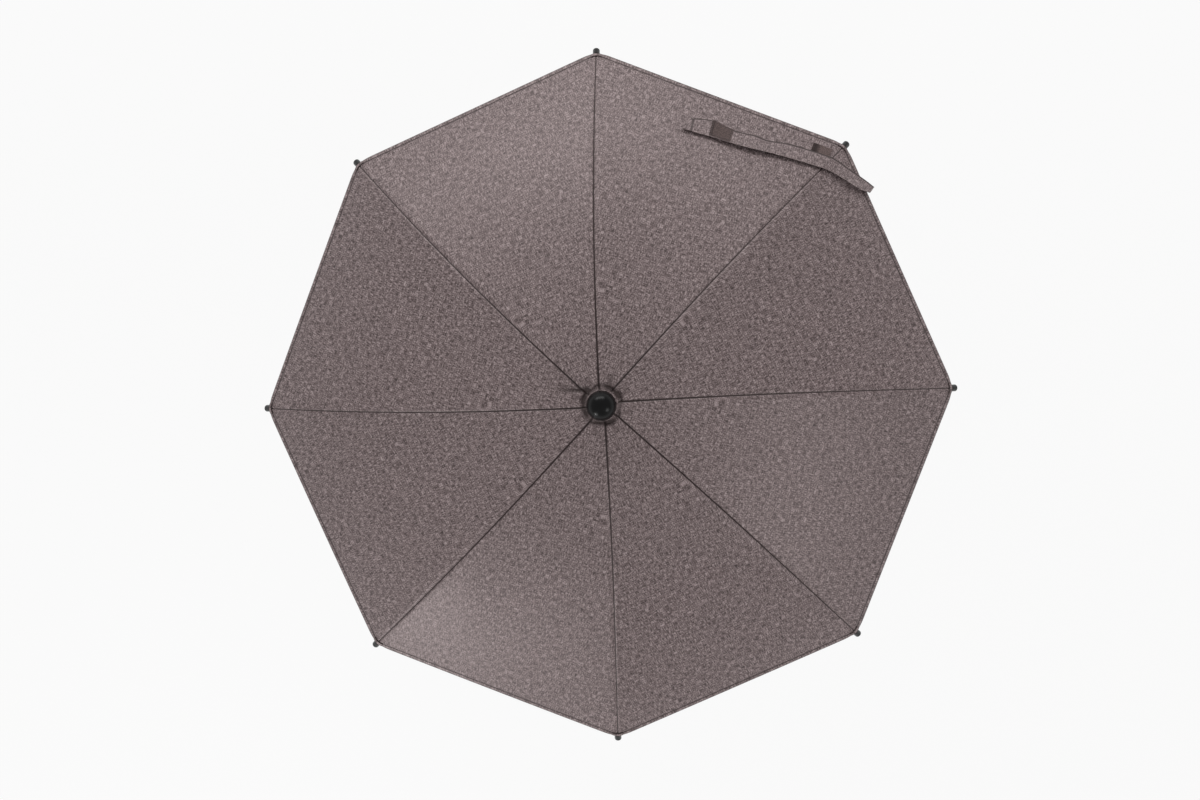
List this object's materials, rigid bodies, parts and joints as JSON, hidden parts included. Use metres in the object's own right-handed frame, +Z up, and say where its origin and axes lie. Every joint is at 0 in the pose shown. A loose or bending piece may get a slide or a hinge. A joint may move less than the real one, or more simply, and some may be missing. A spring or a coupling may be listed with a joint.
{
  "type": "pram parasol",
  "caption": "Octagonal fabric pram parasol on folding ribs, with ball finial, capped rib tips, tie strap, sliding runner, tilting pole and a screw clamp for a pram tube.",
  "frame": {"origin": "centre of the clamp's bore", "axes": "+Z up along the pole, +Y along the clamp's bore, +X towards the clamp's knob"},
  "size_m": [0.7, 0.7, 0.7648],
  "materials": {
    "canopy_fabric": "woven grey-brown melange",
    "strap_fabric": "woven grey-brown melange, two layers sewn",
    "gloss_black": "gloss",
    "frame_black": "satin lacquer",
    "pole_aluminium": "satin anodised",
    "moulded_black": "fine texture",
    "button_grey": "fine texture",
    "bright_steel": "zinc plated",
    "pad_rubber": "matt"
  },
  "bodies": {
    "clamp": {"clamp_body": "moulded_black", "fixed_pad": "pad_rubber"},
    "jaw": {"clamp_jaw": "moulded_black", "moving_pad": "pad_rubber"},
    "screw": {"clamp_screw": "bright_steel", "clamp_knob": "moulded_black"},
    "lower_pole": {"lower_pole": "pole_aluminium", "tilt_base": "moulded_black", "tilt_bolt": "bright_steel"},
    "upper_pole": {"upper_pole": "pole_aluminium", "tilt_head": "moulded_black", "tilt_spring": "bright_steel", "crown_notch": "moulded_black", "crown_wire": "bright_steel", "finial": "gloss_black"},
    "tilt_button": {"tilt_button": "button_grey"},
    "runner_catch": {"runner_catch": "bright_steel"},
    "runner": {"runner": "moulded_black", "runner_wire": "bright_steel"},
    "rib_1": {"rib_1": "frame_black", "tip_cap_1": "gloss_black"},
    "stretcher_1": {"stretcher_1": "frame_black"},
    "rib_2": {"rib_2": "frame_black", "tip_cap_2": "gloss_black", "tie_strap": "strap_fabric"},
    "stretcher_2": {"stretcher_2": "frame_black"},
    "rib_3": {"rib_3": "frame_black", "tip_cap_3": "gloss_black"},
    "stretcher_3": {"stretcher_3": "frame_black"},
    "rib_4": {"rib_4": "frame_black", "tip_cap_4": "gloss_black"},
    "stretcher_4": {"stretcher_4": "frame_black"},
    "rib_5": {"rib_5": "frame_black", "tip_cap_5": "gloss_black"},
    "stretcher_5": {"stretcher_5": "frame_black"},
    "rib_6": {"rib_6": "frame_black", "tip_cap_6": "gloss_black"},
    "stretcher_6": {"stretcher_6": "frame_black"},
    "rib_7": {"rib_7": "frame_black", "tip_cap_7": "gloss_black"},
    "stretcher_7": {"stretcher_7": "frame_black"},
    "rib_8": {"rib_8": "frame_black", "tip_cap_8": "gloss_black"},
    "stretcher_8": {"stretcher_8": "frame_black"},
    "canopy_1_left": {"canopy_1_left": "canopy_fabric"},
    "canopy_1_right": {"canopy_1_right": "canopy_fabric"},
    "canopy_2_left": {"canopy_2_left": "canopy_fabric"},
    "canopy_2_right": {"canopy_2_right": "canopy_fabric"},
    "canopy_3_left": {"canopy_3_left": "canopy_fabric"},
    "canopy_3_right": {"canopy_3_right": "canopy_fabric"},
    "canopy_4_left": {"canopy_4_left": "canopy_fabric"},
    "canopy_4_right": {"canopy_4_right": "canopy_fabric"},
    "canopy_5_left": {"canopy_5_left": "canopy_fabric"},
    "canopy_5_right": {"canopy_5_right": "canopy_fabric"},
    "canopy_6_left": {"canopy_6_left": "canopy_fabric"},
    "canopy_6_right": {"canopy_6_right": "canopy_fabric"},
    "canopy_7_left": {"canopy_7_left": "canopy_fabric"},
    "canopy_7_right": {"canopy_7_right": "canopy_fabric"},
    "canopy_8_left": {"canopy_8_left": "canopy_fabric"},
    "canopy_8_right": {"canopy_8_right": "canopy_fabric"}
  },
  "joints": [
    {"name": "pole_turn", "type": "hinge", "parent": "clamp", "child": "lower_pole", "pos_m": [0, 0, 0.046], "axis": [0, 0, 1], "continuous": true},
    {"name": "tilt", "type": "hinge", "parent": "lower_pole", "child": "upper_pole", "pos_m": [0, 0, 0.29], "axis": [0, 1, 0], "range_deg": [-90, 90]},
    {"name": "tilt_button_press", "type": "slide", "parent": "upper_pole", "child": "tilt_button", "axis": [0, -1, 0], "range_m": [0, 0.0022], "stiffness_N_per_m": 1200, "springref_m": -0.001, "deforming": ["tilt_spring"]},
    {"name": "catch_press", "type": "slide", "parent": "upper_pole", "child": "runner_catch", "axis": [-0.9239, -0.3827, 0], "range_m": [0, 0.0026], "stiffness_N_per_m": 1200, "springref_m": -0.001},
    {"name": "screw_turn", "type": "hinge", "parent": "jaw", "child": "screw", "pos_m": [0.04, 0, 0], "axis": [1, 0, 0], "range_deg": [-760, 1680]},
    {"name": "jaw_slide", "type": "slide", "parent": "clamp", "child": "jaw", "axis": [1, 0, 0], "range_m": [-0.004, 0.009]},
    {"name": "canopy_fold", "type": "hinge", "parent": "upper_pole", "child": "rib_1", "pos_m": [0.011, 0, 0.72], "axis": [0, 1, 0], "range_deg": [0, 67], "deforming": ["canopy_1_left", "canopy_1_right", "canopy_2_left", "canopy_2_right", "canopy_3_left", "canopy_3_right", "canopy_4_left", "canopy_4_right", "canopy_5_left", "canopy_5_right", "canopy_6_left", "canopy_6_right", "canopy_7_left", "canopy_7_right", "canopy_8_left", "canopy_8_right", "tie_strap"]},
    {"name": "stretcher_1_fold", "type": "hinge", "parent": "rib_1", "child": "stretcher_1", "pos_m": [0.17009, 0, 0.68091], "axis": [0, 1, 0], "range_deg": [-134, 0]},
    {"name": "canopy_1_left_fold", "type": "hinge", "parent": "rib_1", "child": "canopy_1_left", "pos_m": [0.011, 0.00053, 0.72898], "axis": [0.8526, -0.1513, -0.5003], "range_deg": [0, 43]},
    {"name": "canopy_1_right_fold", "type": "hinge", "parent": "rib_1", "child": "canopy_1_right", "pos_m": [0.011, -0.00053, 0.72898], "axis": [-0.8526, -0.1513, 0.5003], "range_deg": [0, 43]},
    {"name": "rib_2_fold", "type": "hinge", "parent": "upper_pole", "child": "rib_2", "pos_m": [0.00778, 0.00778, 0.72], "axis": [-0.7071, 0.7071, 0], "range_deg": [0, 67]},
    {"name": "stretcher_2_fold", "type": "hinge", "parent": "rib_2", "child": "stretcher_2", "pos_m": [0.12027, 0.12027, 0.68091], "axis": [-0.7071, 0.7071, 0], "range_deg": [-134, 0]},
    {"name": "canopy_2_left_fold", "type": "hinge", "parent": "rib_2", "child": "canopy_2_left", "pos_m": [0.00741, 0.00815, 0.72898], "axis": [0.7098, 0.4959, -0.5003], "range_deg": [0, 43]},
    {"name": "canopy_2_right_fold", "type": "hinge", "parent": "rib_2", "child": "canopy_2_right", "pos_m": [0.00815, 0.00741, 0.72898], "axis": [-0.4959, -0.7098, 0.5003], "range_deg": [0, 43]},
    {"name": "rib_3_fold", "type": "hinge", "parent": "upper_pole", "child": "rib_3", "pos_m": [0, 0.011, 0.72], "axis": [-1, 0, 0], "range_deg": [0, 67]},
    {"name": "stretcher_3_fold", "type": "hinge", "parent": "rib_3", "child": "stretcher_3", "pos_m": [0, 0.17009, 0.68091], "axis": [-1, 0, 0], "range_deg": [-134, 0]},
    {"name": "canopy_3_left_fold", "type": "hinge", "parent": "rib_3", "child": "canopy_3_left", "pos_m": [-0.00053, 0.011, 0.72898], "axis": [0.1513, 0.8526, -0.5003], "range_deg": [0, 43]},
    {"name": "canopy_3_right_fold", "type": "hinge", "parent": "rib_3", "child": "canopy_3_right", "pos_m": [0.00053, 0.011, 0.72898], "axis": [0.1513, -0.8526, 0.5003], "range_deg": [0, 43]},
    {"name": "rib_4_fold", "type": "hinge", "parent": "upper_pole", "child": "rib_4", "pos_m": [-0.00778, 0.00778, 0.72], "axis": [-0.7071, -0.7071, 0], "range_deg": [0, 67]},
    {"name": "stretcher_4_fold", "type": "hinge", "parent": "rib_4", "child": "stretcher_4", "pos_m": [-0.12027, 0.12027, 0.68091], "axis": [-0.7071, -0.7071, 0], "range_deg": [-134, 0]},
    {"name": "canopy_4_left_fold", "type": "hinge", "parent": "rib_4", "child": "canopy_4_left", "pos_m": [-0.00815, 0.00741, 0.72898], "axis": [-0.4959, 0.7098, -0.5003], "range_deg": [0, 43]},
    {"name": "canopy_4_right_fold", "type": "hinge", "parent": "rib_4", "child": "canopy_4_right", "pos_m": [-0.00741, 0.00815, 0.72898], "axis": [0.7098, -0.4959, 0.5003], "range_deg": [0, 43]},
    {"name": "rib_5_fold", "type": "hinge", "parent": "upper_pole", "child": "rib_5", "pos_m": [-0.011, 0, 0.72], "axis": [0, -1, 0], "range_deg": [0, 67]},
    {"name": "stretcher_5_fold", "type": "hinge", "parent": "rib_5", "child": "stretcher_5", "pos_m": [-0.17009, 0, 0.68091], "axis": [0, -1, 0], "range_deg": [-134, 0]},
    {"name": "canopy_5_left_fold", "type": "hinge", "parent": "rib_5", "child": "canopy_5_left", "pos_m": [-0.011, -0.00053, 0.72898], "axis": [-0.8526, 0.1513, -0.5003], "range_deg": [0, 43]},
    {"name": "canopy_5_right_fold", "type": "hinge", "parent": "rib_5", "child": "canopy_5_right", "pos_m": [-0.011, 0.00053, 0.72898], "axis": [0.8526, 0.1513, 0.5003], "range_deg": [0, 43]},
    {"name": "rib_6_fold", "type": "hinge", "parent": "upper_pole", "child": "rib_6", "pos_m": [-0.00778, -0.00778, 0.72], "axis": [0.7071, -0.7071, 0], "range_deg": [0, 67]},
    {"name": "stretcher_6_fold", "type": "hinge", "parent": "rib_6", "child": "stretcher_6", "pos_m": [-0.12027, -0.12027, 0.68091], "axis": [0.7071, -0.7071, 0], "range_deg": [-134, 0]},
    {"name": "canopy_6_left_fold", "type": "hinge", "parent": "rib_6", "child": "canopy_6_left", "pos_m": [-0.00741, -0.00815, 0.72898], "axis": [-0.7098, -0.4959, -0.5003], "range_deg": [0, 43]},
    {"name": "canopy_6_right_fold", "type": "hinge", "parent": "rib_6", "child": "canopy_6_right", "pos_m": [-0.00815, -0.00741, 0.72898], "axis": [0.4959, 0.7098, 0.5003], "range_deg": [0, 43]},
    {"name": "rib_7_fold", "type": "hinge", "parent": "upper_pole", "child": "rib_7", "pos_m": [0, -0.011, 0.72], "axis": [1, 0, 0], "range_deg": [0, 67]},
    {"name": "stretcher_7_fold", "type": "hinge", "parent": "rib_7", "child": "stretcher_7", "pos_m": [0, -0.17009, 0.68091], "axis": [1, 0, 0], "range_deg": [-134, 0]},
    {"name": "canopy_7_left_fold", "type": "hinge", "parent": "rib_7", "child": "canopy_7_left", "pos_m": [0.00053, -0.011, 0.72898], "axis": [-0.1513, -0.8526, -0.5003], "range_deg": [0, 43]},
    {"name": "canopy_7_right_fold", "type": "hinge", "parent": "rib_7", "child": "canopy_7_right", "pos_m": [-0.00053, -0.011, 0.72898], "axis": [-0.1513, 0.8526, 0.5003], "range_deg": [0, 43]},
    {"name": "rib_8_fold", "type": "hinge", "parent": "upper_pole", "child": "rib_8", "pos_m": [0.00778, -0.00778, 0.72], "axis": [0.7071, 0.7071, 0], "range_deg": [0, 67]},
    {"name": "stretcher_8_fold", "type": "hinge", "parent": "rib_8", "child": "stretcher_8", "pos_m": [0.12027, -0.12027, 0.68091], "axis": [0.7071, 0.7071, 0], "range_deg": [-134, 0]},
    {"name": "canopy_8_left_fold", "type": "hinge", "parent": "rib_8", "child": "canopy_8_left", "pos_m": [0.00815, -0.00741, 0.72898], "axis": [0.4959, -0.7098, -0.5003], "range_deg": [0, 43]},
    {"name": "canopy_8_right_fold", "type": "hinge", "parent": "rib_8", "child": "canopy_8_right", "pos_m": [0.00741, -0.00815, 0.72898], "axis": [-0.7098, 0.4959, 0.5003], "range_deg": [0, 43]},
    {"name": "runner_slide", "type": "hinge", "parent": "stretcher_1", "child": "runner", "pos_m": [0.011, 0, 0.64181], "axis": [0, 1, 0], "range_deg": [0, 67]}
  ],
  "couplings": [
    {"joint": "screw_turn", "follows": "jaw_slide", "rad_per_m": 3141.6},
    {"joint": "stretcher_1_fold", "follows": "canopy_fold", "ratio": -2},
    {"joint": "canopy_1_left_fold", "follows": "canopy_fold", "ratio": 0.6414},
    {"joint": "canopy_1_right_fold", "follows": "canopy_fold", "ratio": 0.6414},
    {"joint": "rib_2_fold", "follows": "canopy_fold", "ratio": 1},
    {"joint": "stretcher_2_fold", "follows": "canopy_fold", "ratio": -2},
    {"joint": "canopy_2_left_fold", "follows": "canopy_fold", "ratio": 0.6414},
    {"joint": "canopy_2_right_fold", "follows": "canopy_fold", "ratio": 0.6414},
    {"joint": "rib_3_fold", "follows": "canopy_fold", "ratio": 1},
    {"joint": "stretcher_3_fold", "follows": "canopy_fold", "ratio": -2},
    {"joint": "canopy_3_left_fold", "follows": "canopy_fold", "ratio": 0.6414},
    {"joint": "canopy_3_right_fold", "follows": "canopy_fold", "ratio": 0.6414},
    {"joint": "rib_4_fold", "follows": "canopy_fold", "ratio": 1},
    {"joint": "stretcher_4_fold", "follows": "canopy_fold", "ratio": -2},
    {"joint": "canopy_4_left_fold", "follows": "canopy_fold", "ratio": 0.6414},
    {"joint": "canopy_4_right_fold", "follows": "canopy_fold", "ratio": 0.6414},
    {"joint": "rib_5_fold", "follows": "canopy_fold", "ratio": 1},
    {"joint": "stretcher_5_fold", "follows": "canopy_fold", "ratio": -2},
    {"joint": "canopy_5_left_fold", "follows": "canopy_fold", "ratio": 0.6414},
    {"joint": "canopy_5_right_fold", "follows": "canopy_fold", "ratio": 0.6414},
    {"joint": "rib_6_fold", "follows": "canopy_fold", "ratio": 1},
    {"joint": "stretcher_6_fold", "follows": "canopy_fold", "ratio": -2},
    {"joint": "canopy_6_left_fold", "follows": "canopy_fold", "ratio": 0.6414},
    {"joint": "canopy_6_right_fold", "follows": "canopy_fold", "ratio": 0.6414},
    {"joint": "rib_7_fold", "follows": "canopy_fold", "ratio": 1},
    {"joint": "stretcher_7_fold", "follows": "canopy_fold", "ratio": -2},
    {"joint": "canopy_7_left_fold", "follows": "canopy_fold", "ratio": 0.6414},
    {"joint": "canopy_7_right_fold", "follows": "canopy_fold", "ratio": 0.6414},
    {"joint": "rib_8_fold", "follows": "canopy_fold", "ratio": 1},
    {"joint": "stretcher_8_fold", "follows": "canopy_fold", "ratio": -2},
    {"joint": "canopy_8_left_fold", "follows": "canopy_fold", "ratio": 0.6414},
    {"joint": "canopy_8_right_fold", "follows": "canopy_fold", "ratio": 0.6414},
    {"joint": "runner_slide", "follows": "canopy_fold", "ratio": 1}
  ]
}
